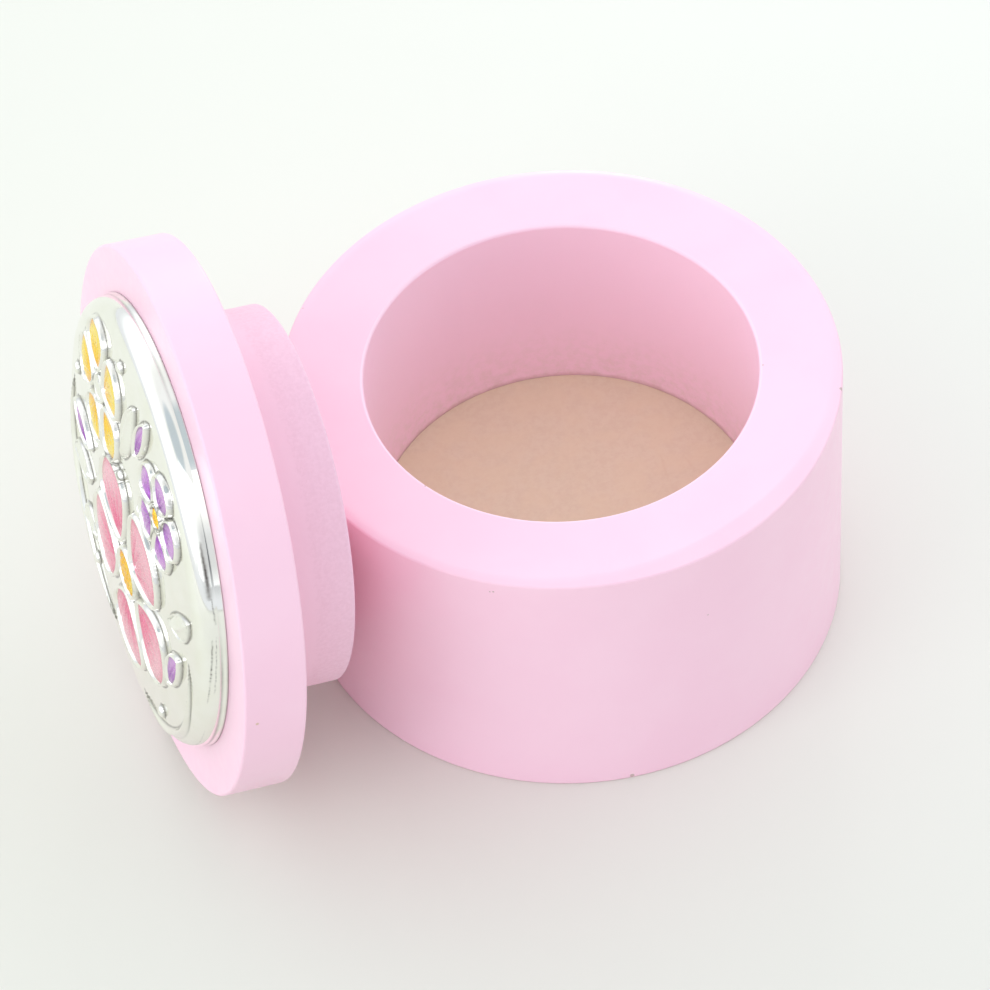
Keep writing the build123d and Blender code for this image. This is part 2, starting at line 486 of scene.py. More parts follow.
def flower_eye(flower):
    """The round middle of a flower."""
    centre = np.array(flower[:2]) * FIELD_RADIUS
    radius = EYE_SHARE * flower[2] * FIELD_RADIUS
    outline = centre + polar(radius, full_turn(PETAL_STEPS))
    return {"outline": outline, "centre": centre, "angle": 0.0, "size": radius}


def lens_outline(shares):
    """A leaf, stem or bud: two arcs from start to end, each bowed by its own share."""
    start, end = (np.array(p) * FIELD_RADIUS for p in shares[:2])
    along = unit(end - start)
    left = np.array((-along[1], along[0])) * FIELD_RADIUS
    middle = (start + end) / 2
    there = arc(start, middle + left * shares[2], end, 60)
    back = arc(end, middle + left * shares[3], start, 60)
    return {
        "outline": evenly(np.array(there + back), PETAL_STEPS),
        "sides": (np.array(there + [tuple(end)]), np.array(back + [tuple(start)])),
        "centre": start,
        "angle": math.atan2(along[1], along[0]),
        "size": float(np.linalg.norm(end - start)),
    }


def line_distance(line, points):
    """How far points lie from an open line."""
    near = np.full(len(points), FAR)
    for here, there in zip(line, line[1:]):
        run = there - here
        share = np.clip((points - here) @ run / max(run @ run, 1e-12), 0, 1)
        near = np.minimum(near, np.linalg.norm(points - here - share[:, None] * run, axis=1))
    return near


def distance(outline, points):
    """How far points lie outside the outline; inside it the number is negative."""
    whole = closed(outline)
    inside = np.zeros(len(points), bool)
    for here, there in zip(whole, whole[1:]):
        run = there - here
        crosses = (here[1] > points[:, 1]) != (there[1] > points[:, 1])
        with np.errstate(divide="ignore", invalid="ignore"):
            at = run[0] * (points[:, 1] - here[1]) / run[1] + here[0]
        inside ^= crosses & (points[:, 0] < at)
    near = line_distance(whole, points)
    return np.where(inside, -near, near)


def dome_profile():
    """The dome from its top to the lip's foot, as radius, height and the way it faces."""
    drop = DOME_HEIGHT - DOME_WALL
    square = (FIELD_RADIUS**2 + drop**2 - SHOULDER_RADIUS**2) / 2
    crown = square / (drop - SHOULDER_RADIUS)
    low = DOME_HEIGHT - crown
    tilt = math.atan2(FIELD_RADIUS, DOME_WALL - low)
    rows = [(crown * math.sin(t), low + crown * math.cos(t), t) for t in np.linspace(0, tilt, CROWN_ROWS)]
    for t in np.linspace(tilt, math.pi / 2, SHOULDER_ROWS)[1:]:
        height = DOME_WALL + SHOULDER_RADIUS * math.cos(t)
        rows.append((FIELD_RADIUS + SHOULDER_RADIUS * math.sin(t), height, t))
    wall = FIELD_RADIUS + SHOULDER_RADIUS
    facing = math.atan2(DOME_WALL, LIP_WIDTH)
    for share in np.linspace(0, 1, 9)[1:]:
        rows.append((wall + LIP_WIDTH * share, DOME_WALL * (1 - share), facing))
    return np.array(rows)


def dome_height(flat):
    """The plain dome's height at flat points on its crown or shoulder."""
    rows = dome_profile()[: WALL_ROW + 1]
    return np.interp(np.linalg.norm(flat, axis=-1), rows[:, 0], rows[:, 1])


def ridge(far, middle, half_width, height):
    """A raised line with a round top, at a distance from an outline."""
    near = np.clip(np.abs(far - middle) / half_width, 0, 1)
    return height * (1 - near**2) ** 1.25


def groove_tone(far, width=0.1):
    """How dark a fine groove is at a distance from its middle."""
    return np.exp(-((far / width) ** 2))


def blade_relief(spray, points, far):
    """A leaf or stem: two slopes that meet on a soft crest; a leaf has a raised edge and veins too."""
    high, low = (line_distance(side, points) for side in spray["sides"])
    across = (high - low) / np.maximum(high + low, 1e-6)
    wide = (high + low) / 2
    crest = math.hypot(1, CREST_SOFTNESS)
    roof = (crest - np.sqrt(across**2 + CREST_SOFTNESS**2)) / (crest - CREST_SOFTNESS)
    full = STEM_HEIGHT * np.clip(wide / 0.8, 0, 1) ** 0.6
    swell = np.where(far < 0, full * (0.55 * roof + 0.45 * (1 - across**2)), 0)
    if not spray.get("veined"):
        return swell
    along = (points - spray["centre"]) @ heading(spray["angle"])
    veins = np.sin((along - np.abs(across) * wide * 0.9) * 2 * math.pi / VEIN_GAP)
    slope = np.clip(-far / 0.5, 0, 1) * np.clip(np.abs(across) * 4 - 0.4, 0, 1)
    midrib = ridge(np.abs(across) * wide, 0, MIDRIB_HALF, MIDRIB_HEIGHT)
    swell = swell * 0.8 + midrib * np.clip(-far / 0.3, 0, 1) + veins * VEIN_DEPTH * slope
    return np.maximum(np.where(far < 0, swell, 0), ridge(far, 0, LEAF_EDGE_HALF, LEAF_EDGE_HEIGHT))


def sheet_relief(points, fills, sprays, boss):
    """How far the stamped sheet stands out of its dome, and how dark its creases are."""
    lift = np.zeros(len(points))
    crease = np.zeros(len(points))
    inside = np.zeros(len(points), bool)

    def near(outline, margin):
        low, high = outline.min(0) - margin, outline.max(0) + margin
        return np.where(np.all((points > low) & (points < high), axis=1))[0]

    def press(chosen, height, dark):
        lift[chosen] = np.maximum(lift[chosen], height)
        crease[chosen] = np.maximum(crease[chosen], dark)

    edge = RIDGE_PLACE + RIDGE_HALF
    for fill in fills:
        chosen = near(fill["outline"], 1.0)
        far = distance(fill["outline"], points[chosen])
        outline = ridge(far, RIDGE_PLACE, RIDGE_HALF, OUTLINE_HEIGHT)
        press(chosen, outline, groove_tone(far - edge - 0.04))
        inside[chosen[far < -0.2]] = True
    for spray in sprays:
        chosen = near(spray["outline"], 0.8)
        far = distance(spray["outline"], points[chosen])
        rim = 0.24 if spray.get("veined") else 0.06
        press(chosen, blade_relief(spray, points[chosen], far), groove_tone(far - rim))
    for place in BEADS:
        far = np.linalg.norm(points - np.array(place) * FIELD_RADIUS, axis=1)
        round_top = np.sqrt(np.clip(1 - (far / BEAD_RADIUS) ** 2, 0, 1)) * BEAD_HEIGHT
        press(slice(None), round_top, groove_tone(far - BEAD_RADIUS - 0.06))
    far = np.linalg.norm(points - boss["centre"], axis=1)
    collar = ridge(far, boss["size"] - 0.1, 0.35, OUTLINE_HEIGHT * 0.85)
    press(slice(None), collar, groove_tone(far - boss["size"] - 0.3, 0.12))
    return lift, np.where(inside, 0, crease)


def tarnish(bearing, reach, walked, profile):
    """The streaks on the shoulder as a tone from 0 to 1."""
    rows = slice(WALL_ROW, CROWN_ROWS - 2, -1)
    dark = np.zeros(len(bearing))
    for start, end, thin, thick, depth, broken in TARNISH:
        first, last = (np.interp(height, profile[rows, 1], walked[rows]) for _, height in (start, end))
        share = turn_from(start[0], bearing) / (end[0] - start[0])
        chosen = np.where((share > 0) & (share < 1))[0]
        here = share[chosen]
        width = thin + (thick - thin) * here
        waver = noise_at((b * 0.9, end[1], 0) for b in bearing[chosen])
        gap = reach[chosen] - first - (last - first) * here - waver * 0.06
        dashes = noise_at((b * 2.1, start[1] * 9, 3) for b in bearing[chosen])
        kept = np.clip(1 - broken * np.clip(0.55 - dashes * 2.2, 0, 1), 0, 1)
        tone_here = depth * kept * np.exp(-((gap / width) ** 2)) * np.sin(here * math.pi) ** 0.4
        dark[chosen] = np.maximum(dark[chosen], tone_here)
    return dark


def lip_tarnish_and_shade(angle, reach, walked, edge):
    """The creases at the lip's top and foot as a tone: tarnish, with painted shade that is darker at the
    bearings the light leaves dark, and in patches.
    """
    dark = LIP_CREASE * np.exp(-(((reach - walked[WALL_ROW]) / LIP_TOP_WIDTH) ** 2))
    dark += LIP_CREASE * np.exp(-(((reach - walked[-1]) / LIP_FOOT_WIDTH) ** 2))
    dark *= np.interp(np.degrees(angle), *zip(*LIP_SHADE_BY_BEARING), period=360)
    patches = 0.8 + 0.4 * noise_at((math.cos(a) * 5, math.sin(a) * 5, 0) for a in angle[edge])
    bearings = angle[edge] % math.tau
    order = np.argsort(bearings)
    dark *= np.interp(angle % math.tau, bearings[order], patches[order])
    return dark


def ring_places(walked):
    """Where the sheet's rings lie along its profile, finer on the shoulder and finest at the lip."""
    shoulder = walked[CROWN_ROWS - 1]
    wall = walked[WALL_ROW]
    crown_rings = np.linspace(0, shoulder, CROWN_RINGS)
    shoulder_rings = np.linspace(shoulder, wall, SHOULDER_RINGS)[1:]
    return np.concatenate([crown_rings, shoulder_rings, np.linspace(wall, walked[-1], LIP_RINGS)[1:]])


def disc_grid(rings):
    """A square grid bent to a disc: each point's ring and angle, the faces and the edge."""
    a, b = np.meshgrid(np.arange(-rings, rings + 1), np.arange(-rings, rings + 1))
    wide = np.abs(a) > np.abs(b)
    with np.errstate(divide="ignore", invalid="ignore"):
        angle = np.where(wide, math.pi / 4 * b / a, math.pi / 2 - math.pi / 4 * a / b)
    ring = np.where(wide, a, b)
    angle = np.nan_to_num(angle) + np.where(ring < 0, math.pi, 0)
    side = 2 * rings + 1
    first = (np.arange(side - 1)[:, None] * side + np.arange(side - 1)).ravel()
    faces = np.column_stack([first, first + 1, first + side + 1, first + side]).tolist()
    edge = list(range(side - 1))
    edge += [row * side + side - 1 for row in range(side - 1)]
    edge += [(side - 1) * side + k for k in range(side - 1, 0, -1)]
    edge += [row * side for row in range(side - 1, 0, -1)]
    return np.abs(ring).ravel(), angle.ravel(), faces, edge


def sheet_inside(walked, profile):
    """The sheet's smooth inside as radius and height, from the lip's foot to near the middle."""
    rows = [(LIP_RADIUS - SILVER_THICKNESS, 0.0)]
    for reach in np.linspace(walked[WALL_ROW - 10], 0, 9)[:-1]:
        radius, height, facing = (np.interp(reach, walked, profile[:, k]) for k in range(3))
        rows.append((radius - SILVER_THICKNESS * math.sin(facing), height - SILVER_THICKNESS))
    return rows


def make_sheet(fills, sprays, boss):
    """The silvered sheet: a fine grid over the dome with its relief, and its smooth inside."""
    profile = dome_profile()
    steps = np.linalg.norm(np.diff(profile[:, :2], axis=0), axis=1)
    walked = np.concatenate([[0], np.cumsum(steps)])
    places = ring_places(walked)
    ring, angle, faces, edge = disc_grid(len(places) - 1)
    reach = places[ring]
    radius, height, facing = (np.interp(reach, walked, profile[:, k]) for k in range(3))
    lift, crease = sheet_relief(polar(radius, angle), fills, sprays, boss)
    fade = np.clip((FIELD_RADIUS + RELIEF_REACH - radius) / RELIEF_FADE, 0, 1)
    lift *= fade
    crease *= fade
    radius = radius + lift * np.sin(facing)
    height = height + lift * np.cos(facing)
    # The lip's dark creases: tarnish, with painted shade set by bearing
    lip_shade = lip_tarnish_and_shade(angle, reach, walked, edge)
    streaks = tarnish(np.degrees(angle), reach, walked, profile)
    dark = np.clip(np.maximum(np.maximum(crease * CREASE_TONE, lip_shade), streaks), 0, 1)
    rows = [np.column_stack([polar(radius, angle), height])]
    count = len(radius)
    before = edge
    for inner_radius, inner_height in sheet_inside(walked, profile):
        level = np.full(len(edge), max(inner_height, 0.0))
        rows.append(np.column_stack([polar(inner_radius, angle[edge]), level]))
        here = range(count, count + len(edge))
        for k, after in next_round(len(edge)):
            faces.append((before[after], before[k], here[k], here[after]))
        count += len(edge)
        before = here
    rows.append(np.array([[0, 0, DOME_HEIGHT - SILVER_THICKNESS]]))
    faces += [(before[after], before[k], count) for k, after in next_round(len(edge))]
    values = {"dark": np.concatenate([dark, np.zeros(count + 1 - len(dark))])}
    return piece("plaque_sheet", np.vstack(rows), faces, "lid", "plaque_silver", plaque_axes(), values)


def plaque_axes():
    """The plaque's frame, on its seat."""
    return lid_matrix(LID_THICKNESS + ADHESIVE_THICKNESS, PLAQUE_RISE)


def make_boss(boss):
    """The cut boss in the sunflower's eye: a table and two rows of flat facets."""
    base = dome_height(boss["centre"])
    cuts = BOSS_FACETS
    radius = boss["size"] * BOSS_WIDTH
    points = []
    for share, lift, offset in BOSS_ROWS:
        for k in range(cuts):
            across, up = boss["centre"] + radius * share * heading(math.tau * (k + offset) / cuts)
            points.append((across, up, base + lift))
    faces = [tuple(range(3 * cuts, 4 * cuts)), tuple(reversed(range(cuts)))]
    for k, after in next_round(cuts):
        low, mid, high = ((row * cuts + k, row * cuts + after) for row in (1, 2, 3))
        faces += [(k, after, low[1], low[0]), (*low, mid[0]), (low[1], mid[1], mid[0])]
        faces += [(*mid, high[1]), (mid[0], high[1], high[0])]
    values = {"dark": np.zeros(len(points))}
    obj = piece("plaque_boss", points, faces, "lid", "plaque_silver", plaque_axes(), values)
    obj.data.shade_flat()
    return obj


def fill_lift(kind, along, across, reach, inner):
    """How far a fill's top stands out at places along, across and out to its edge."""
    lift = ENAMEL_HEIGHT * (0.5 + 0.5 * (1 - reach**4))
    if kind == "petal":
        width = 0.012 + 0.012 * along
        fading = np.clip((0.86 - along) * 5, 0, 1)
        for lean in GROOVE_LEANS:
            off = across - lean * (along - 0.25)
            lift -= GROOVE_DEPTH * np.exp(-((off / width) ** 2)) * inner * fading
        lift += 0.08 * np.clip(along - 0.5, 0, 1) * inner
    if kind == "eye":
        golden = math.pi * (3 - math.sqrt(5))
        seeds = np.arange(SEED_COUNT)
        spots = polar(np.sqrt((seeds + 0.5) / SEED_COUNT) * 0.9, seeds * golden)
        flat = np.column_stack([along, across])
        far = np.min(np.linalg.norm(flat[:, None] - spots[None], axis=2), axis=1)
        lift += SEED_HEIGHT * np.sqrt(np.clip(1 - (far / SEED_RADIUS) ** 2, 0, 1)) - 0.05
    if kind == "bud":
        lift += 0.1 * (1 - reach) - BUD_CREASE * np.exp(-((across / 0.02) ** 2)) * inner
    return lift


def fill_mesh(fill, kind):
    """One enamel fill: its crowned top over the dome, its side and its foot."""
    outline = fill["outline"]
    centre = outline.mean(0)
    shares = np.sqrt(np.arange(1, PETAL_RINGS + 1) / PETAL_RINGS) ** 1.3
    flat = np.vstack([centre[None, :]] + [centre + (outline - centre) * share for share in shares])
    reach = np.concatenate([[0.0]] + [np.full(len(outline), share) for share in shares])
    way = heading(fill["angle"])
    along = (flat - fill["centre"]) @ way / fill["size"]
    across = (flat - fill["centre"]) @ np.array((-way[1], way[0])) / fill["size"]
    inner = np.clip((0.9 - reach) * 6, 0, 1)
    lift = fill_lift(kind, along, across, reach, inner)
    lift += noise_at((x * 2.6, y * 2.6, 0) for x, y in flat) * GRAIN_DEPTH * inner
    top = np.column_stack([flat, dome_height(flat) + lift])
    foot = np.column_stack([outline, dome_height(outline) - FILL_SINK])
    under = np.array([[*centre, dome_height(centre) - FILL_SINK]])
    count = len(outline)
    last, low = 1 + (PETAL_RINGS - 1) * count, len(top)
    faces = []
    for k, after in next_round(count):
        faces.append((0, 1 + k, 1 + after))
        for ring in range(1, last, count):
            faces.append((ring + k, ring + count + k, ring + count + after, ring + after))
        faces += [(last + k, low + k, low + after, last + after), (low + count, low + after, low + k)]
    values = np.concatenate([along, np.full(count + 1, 0.5)])
    edges = np.concatenate([reach, np.ones(count + 1)])
    return np.vstack([top, foot, under]), faces, values, edges


def make_fills(name, node, fills):
    """All the enamel of one colour as one piece."""
    points, faces, along, edge = [], [], [], []
    count = 0
    for fill, kind in fills:
        made, more, values, edges = fill_mesh(fill, kind)
        x, y = fill["outline"].T
        clockwise = np.sum(x * np.roll(y, -1) - np.roll(x, -1) * y) < 0
        if clockwise:
            more = [tuple(reversed(face)) for face in more]
        points.append(made)
        faces += [tuple(corner + count for corner in face) for face in more]
        along.append(values)
        edge.append(edges)
        count += len(made)
    values = {"along": np.concatenate(along), "edge": np.concatenate(edge)}
    return piece(name, np.vstack(points), faces, "lid", node, plaque_axes(), values)


def make_plaque():
    """The sheet with its relief, the cut boss and the three colours of enamel."""
    rose, sunflower, pansy = map(flower_petals, FLOWERS)
    rose_eye, sunflower_eye, pansy_eye = map(flower_eye, FLOWERS)
    buds = [lens_outline(bud) for bud in BUDS]
    sprays = [lens_outline(shares) | {"veined": True} for shares in LEAVES]
    sprays += [lens_outline(shares) for shares in STEMS]
    outlined = rose + sunflower + pansy + buds + [rose_eye, pansy_eye]
    sheet = make_sheet(outlined, sprays, sunflower_eye)
    boss = make_boss(sunflower_eye)
    pink = make_fills("enamel_pink", "pink_enamel", [(fill, "petal") for fill in rose])
    golden = [(fill, "petal") for fill in sunflower] + [(rose_eye, "eye"), (pansy_eye, "eye")]
    yellow = make_fills("enamel_yellow", "yellow_enamel", golden)
    purple = [(fill, "petal") for fill in pansy] + [(bud, "bud") for bud in buds]
    violet = make_fills("enamel_violet", "violet_enamel", purple)
    return sheet, boss, pink, yellow, violet


# Materials

def tone(red, green, blue):
    """A colour given as it looks on a screen, 0 to 255, as the shader wants it."""
    parts = [c / 255 for c in (red, green, blue)]
    linear = [p / 12.92 if p <= 0.04045 else ((p + 0.055) / 1.055) ** 2.4 for p in parts]
    return (*linear, 1.0)


class Tree:
    """Short calls for a node tree."""

    def __init__(self, tree):
        self.nodes, self.links = tree.nodes, tree.links

    def set(self, node, socket, value):
        target = node.inputs[socket]
        if isinstance(value, bpy.types.NodeSocket):
            self.links.new(value, target)
        else:
            target.default_value = value

    def node(self, kind, inputs=None, output=0, **settings):
        made = self.nodes.new("ShaderNode" + kind)
        for key, value in settings.items():
            setattr(made, key, value)
        for socket, value in (inputs or {}).items():
            self.set(made, socket, value)
        return made.outputs[output]

    def span(self, value, low, high, start=0.0, end=1.0, smooth=True):
        """The value stretched from low..high to start..end, and held at its ends."""
        inputs = {"Value": value, "From Min": low, "From Max": high, "To Min": start, "To Max": end}
        return self.node("MapRange", inputs, interpolation_type="SMOOTHSTEP" if smooth else "LINEAR")

    def math(self, operation, first, second=0.0):
        return self.node("Math", {0: first, 1: second}, operation=operation)

    def times(self, first, second):
        return self.math("MULTIPLY", first, second)

    def mix(self, share, first, second):
        made = self.nodes.new("ShaderNodeMix")
        made.data_type = "RGBA"
        for index, value in ((0, share), (6, first), (7, second)):
            self.set(made, index, value)
        return made.outputs[2]


class Shader(Tree):
    """A material and the calls that build it."""

    def __init__(self, name, axes=None, **sockets):
        self.material = bpy.data.materials.new(name)
        self.material.use_nodes = True
        super().__init__(self.material.node_tree)
        self.surface = self.nodes["Principled BSDF"]
        self.place = self.node("TexCoord", output="Object")
        if axes is not None:
            back = axes.inverted()
            turned_back = {"Location": back.to_translation(), "Rotation": back.to_euler()}
            self.place = self.node("Mapping", {"Vector": self.place} | turned_back)
        self.look(**sockets)

    def look(self, **sockets):
        """Values or colours for the surface's sockets, each named with _ for a space."""
        for key, value in sockets.items():
            self.set(self.surface, key.replace("_", " "), value)

    def noise(self, size, detail=2.0, place=None, roughness=0.5):
        """Noise whose cells are about size millimetres across."""
        inputs = {"Vector": place or self.place, "Scale": 1 / (size * MM)}
        return self.node("TexNoise", inputs | {"Detail": detail, "Roughness": roughness})

    def cells(self, size):
        """Distance from the middles of cells about size millimetres across, in shares of a cell."""
        return self.node("TexVoronoi", {"Vector": self.place, "Scale": 1 / (size * MM)}, feature="F1")

    def attribute(self, name):
        return self.node("Attribute", output="Fac", attribute_name=name)

    def bump(self, height, depth, strength=1.0, under=None):
        """A bump whose full height is depth millimetres."""
        inputs = {"Height": height, "Distance": depth * MM, "Strength": strength}
        if under is not None:
            inputs["Normal"] = under
        return self.node("Bump", inputs)

    def below(self, value, low, high, end=0.0, **settings):
        """1 up to one size in millimetres, falling to end at the other."""
        return self.span(value, low * MM, high * MM, 1.0, end, **settings)

    def stretched(self, x, y, z):
        return self.node("Mapping", {"Vector": self.place, "Scale": (x, y, z)})

    def axis(self, name):
        """How far a point lies along an axis."""
        return self.node("SeparateXYZ", {0: self.place}, output=name)

    def from_axis(self):
        """How far a point lies from the Z axis."""
        flat = self.node("VectorMath", {0: self.place, 1: (1, 1, 0)}, operation="MULTIPLY")
        return self.node("VectorMath", {0: flat}, output="Value", operation="LENGTH")

    def spot(self, place, radius):
        """1 inside a worn spot about a point in millimetres, with a ragged edge."""
        at = tuple(c * MM for c in place)
        far = self.node("VectorMath", {0: self.place, 1: at}, output="Value", operation="DISTANCE")
        ragged = self.math("ADD", far, self.times(self.noise(0.5, 3), radius * MM * 0.8))
        return self.span(ragged, radius * MM * 0.9, radius * MM * 1.5, 1.0, 0.0)

    def chipped(self, colour, chips, bare):
        """The colour with a worn spot at each place, in the tone under the paint."""
        for place, radius in chips:
            colour = self.mix(self.spot(place, radius), colour, bare)
        return colour

    def finish(self, *pieces):
        for obj in pieces:
            obj.data.materials.clear()
            obj.data.materials.append(self.material)


# Colours as they look on a screen
PINK = tone(253, 210, 229)
PINK_DEEP = tone(252, 207, 227)
# The bore's lighter pink is painted light: it lifts the shade inside the bore
BORE_PINK_PAINTED_LIGHT = tone(255, 218, 236)
THIN_PINK = tone(238, 212, 214)
# A deeper pink for the lid's back faces, painted to warm the shade bounced into the gap by the cup
SHADE_WARMING_PINK = tone(254, 192, 207)
PLUG_PINK = tone(247, 207, 226)
PLUG_PINK_DEEP = tone(242, 201, 220)
DUST = tone(238, 214, 214)
# The dark line at the floor: partly the glued seam, partly painted shade in the corner
SEAM_AND_CORNER_SHADE = tone(206, 168, 168)
CUP_CHIP = tone(200, 172, 172)
LID_CHIP = tone(222, 186, 170)
BOARD = tone(235, 219, 190)
BOARD_DARK = tone(231, 213, 184)
BOARD_PALE = tone(237, 219, 186)
BOARD_FIBRE = tone(224, 199, 166)
FILM = tone(196, 188, 186)
SILVER = tone(250, 249, 243)
SILVER_WARM = tone(246, 245, 236)
TARNISHED = tone(68, 57, 53)
FILLER = tone(222, 216, 204)
FILLER_DARK = tone(206, 200, 188)
TABLE = tone(236, 237, 229)
TABLE_CLOUD = tone(234, 235, 226)
# Painted shade: the table's deeper tones to the left and near the camera
TABLE_SHADE_LEFT = tone(227, 228, 217)
TABLE_SHADE_NEAR = tone(218, 218, 210)

# Each enamel's colour at its root, at its tip and along its edge
ENAMELS = {
    "pink": (tone(236, 88, 140), tone(250, 182, 200), tone(222, 64, 120)),
    "yellow": (tone(253, 192, 40), tone(255, 228, 84), tone(242, 140, 30)),
    "violet": (tone(158, 70, 184), tone(216, 160, 226), tone(130, 60, 160)),
}


def on_cup(bearing, radius, height):
    """A place on the cup by its bearing in degrees."""
    angle = math.radians(bearing)
    return (radius * math.cos(angle), radius * math.sin(angle), height)


# Worn spots: the place and the radius
CUP_CHIPS = [
    (on_cup(-27.3, 29.9, 33.4), 0.24),
    (on_cup(-20.9, 21.5, 33.7), 0.1),
    (on_cup(-152.0, 21.3, 33.7), 0.14),
    (on_cup(-123.9, 30.0, 32.1), 0.14),
    (on_cup(-124.6, 30.0, 32.0), 0.12),
    (on_cup(-80.4, 30.0, 23.6), 0.12),
    (on_cup(-98.0, 30.0, 0.5), 0.3),
    (on_cup(60.0, 30.0, 12.0), 0.2),
    (on_cup(140.0, 29.6, 33.4), 0.22),
]
LID_CHIPS = [
    ((29.6, 0.3, 5.3), 0.22),
    ((-20.9, 20.9, 4.7), 0.16),
    ((-20.9, 20.9, 1.1), 0.14),
    ((4.0, -29.3, 6.0), 0.2),
    ((-28.0, -9.6, 2.0), 0.2),
]


def painted(shader):
    """Sprayed satin paint: faint clouds of colour, a fine orange peel and a few dust specks."""
    base = shader.mix(shader.span(shader.noise(9, 3), 0.35, 0.7), PINK, PINK_DEEP)
    speck = shader.span(shader.cells(3.4), 0.012, 0.03, 0.45, 0.0)
    base = shader.mix(speck, base, DUST)
    normal = shader.bump(shader.noise(0.45, 2), 0.01, 0.5)
    normal = shader.bump(shader.noise(2.2, 1), 0.03, 0.5, normal)
    shader.look(Roughness=shader.span(shader.noise(1.6, 3), 0.3, 0.7, 0.3, 0.38))
    return base, normal


def dress_ring(ring):
    """Pink paint, made lighter in the bore as painted light, thin and fibrous low in the bore, with a
    dark line at the floor that is partly the seam and partly painted shade in the corner.
    """
    paint = Shader("pink_paint_cup", Specular_IOR_Level=0.75)
    colour, normal = painted(paint)
    height = paint.axis("Z")
    radius = paint.from_axis()
    bore = paint.below(radius, BORE_RADIUS + 0.25, BORE_RADIUS + 0.4)
    low = paint.below(height, BASE_THICKNESS - 0.5, BASE_THICKNESS + 9, smooth=False)
    thin = paint.times(bore, low)
    fibre = paint.noise(0.9, 4, roughness=0.65)
    # Painted light: the bore gets a lighter pink that lifts the shade inside it
    colour = paint.mix(bore, colour, BORE_PINK_PAINTED_LIGHT)
    patchy = paint.times(paint.span(fibre, 0.36, 0.7), thin)
    colour = paint.mix(paint.times(patchy, 0.75), colour, THIN_PINK)
    # A ragged dark line where the bore meets the floor: the seam, with painted shade in the corner
    ragged = paint.math("ADD", height, paint.times(paint.noise(1.6, 3), -0.9 * MM))
    seam_and_shade = paint.below(ragged, BASE_THICKNESS - 0.45, BASE_THICKNESS + 0.25)
    seam_and_shade = paint.times(seam_and_shade, paint.times(bore, 0.6))
    colour = paint.mix(seam_and_shade, colour, SEAM_AND_CORNER_SHADE)
    turning = paint.noise(0.7, 2, place=paint.stretched(0.05, 0.05, 1))
    normal = paint.bump(paint.times(turning, bore), 0.02, 0.5, normal)
    normal = paint.bump(paint.times(fibre, thin), 0.14, 0.7, normal)
    paint.look(Base_Color=paint.chipped(colour, CUP_CHIPS, CUP_CHIP), Normal=normal)
    paint.finish(ring)


def dress_base(base):
    """Bare sanded board: fine mottles, broad pale clouds and a few long fibres."""
    board = Shader("bare_board", Specular_IOR_Level=0.25)
    fine = board.noise(0.7, 5, roughness=0.6)
    broad = board.noise(4, 3)
    long_fibres = board.noise(1.2, 3, place=board.stretched(1, 0.28, 1))
    colour = board.mix(board.span(fine, 0.35, 0.68), BOARD, BOARD_DARK)
    colour = board.mix(board.span(broad, 0.4, 0.65, 0.0, 0.55), colour, BOARD_PALE)
    colour = board.mix(board.span(long_fibres, 0.62, 0.75, 0.0, 0.25), colour, BOARD_FIBRE)
    normal = board.bump(board.math("ADD", fine, long_fibres), 0.03, 0.5)
    board.look(Base_Color=colour, Roughness=board.span(fine, 0.3, 0.7, 0.75, 0.92), Normal=normal)
    board.finish(base)


def dress_disc(disc):
    """The lid's paint, with a deeper pink painted on the flat back to warm the shade it bounces into the
    gap by the cup.
    """
    paint = Shader("pink_paint_lid", lid_matrix(0), Specular_IOR_Level=0.75)
    colour, normal = painted(paint)
    colour = paint.chipped(colour, LID_CHIPS, LID_CHIP)
    back = paint.below(paint.axis("Z"), 0.005, 0.02)
    # Painted shade colour: the flat back is a deeper pink that warms the light it bounces into the shaded
    # gap
    paint.look(Base_Color=paint.mix(back, colour, SHADE_WARMING_PINK), Normal=normal)
    paint.finish(disc)


def dress_plug(plug):
    """The plug's coarser paint, with a deeper pink painted on its flat end to warm the shade it bounces
    onto the cup.
    """
    coarse = Shader("plug_paint", lid_matrix(0), Specular_IOR_Level=0.6)
    along = coarse.axis("Z")
    bared = coarse.below(along, -4.6, -3.2, 0.35)
    skin = coarse.times(coarse.noise(0.4, 4, roughness=0.6), bared)
    colour = coarse.mix(coarse.span(skin, 0.3, 0.68), PLUG_PINK, PLUG_PINK_DEEP)
    end = coarse.below(along, 0.01 - PLUG_LENGTH, 0.04 - PLUG_LENGTH)
    # Painted shade colour: the flat end is a deeper pink that warms the light it bounces onto the cup's
    # shaded wall
    coarse.look(Base_Color=coarse.mix(end, colour, SHADE_WARMING_PINK))
    coarse.look(Roughness=coarse.span(skin, 0.3, 0.7, 0.45, 0.6))
    normal = coarse.bump(skin, 0.05, 0.55)
    coarse.look(Normal=coarse.bump(coarse.noise(1.4, 2), 0.06, 0.4, normal))
    coarse.finish(plug)


def dress_film(film):
    """The dull film that shows as a line round the plaque."""
    dull = Shader("film_dull", Base_Color=FILM, Roughness=0.8)
    dull.look(Normal=dull.bump(dull.noise(0.4, 2), 0.03, 0.5))
    dull.finish(film)


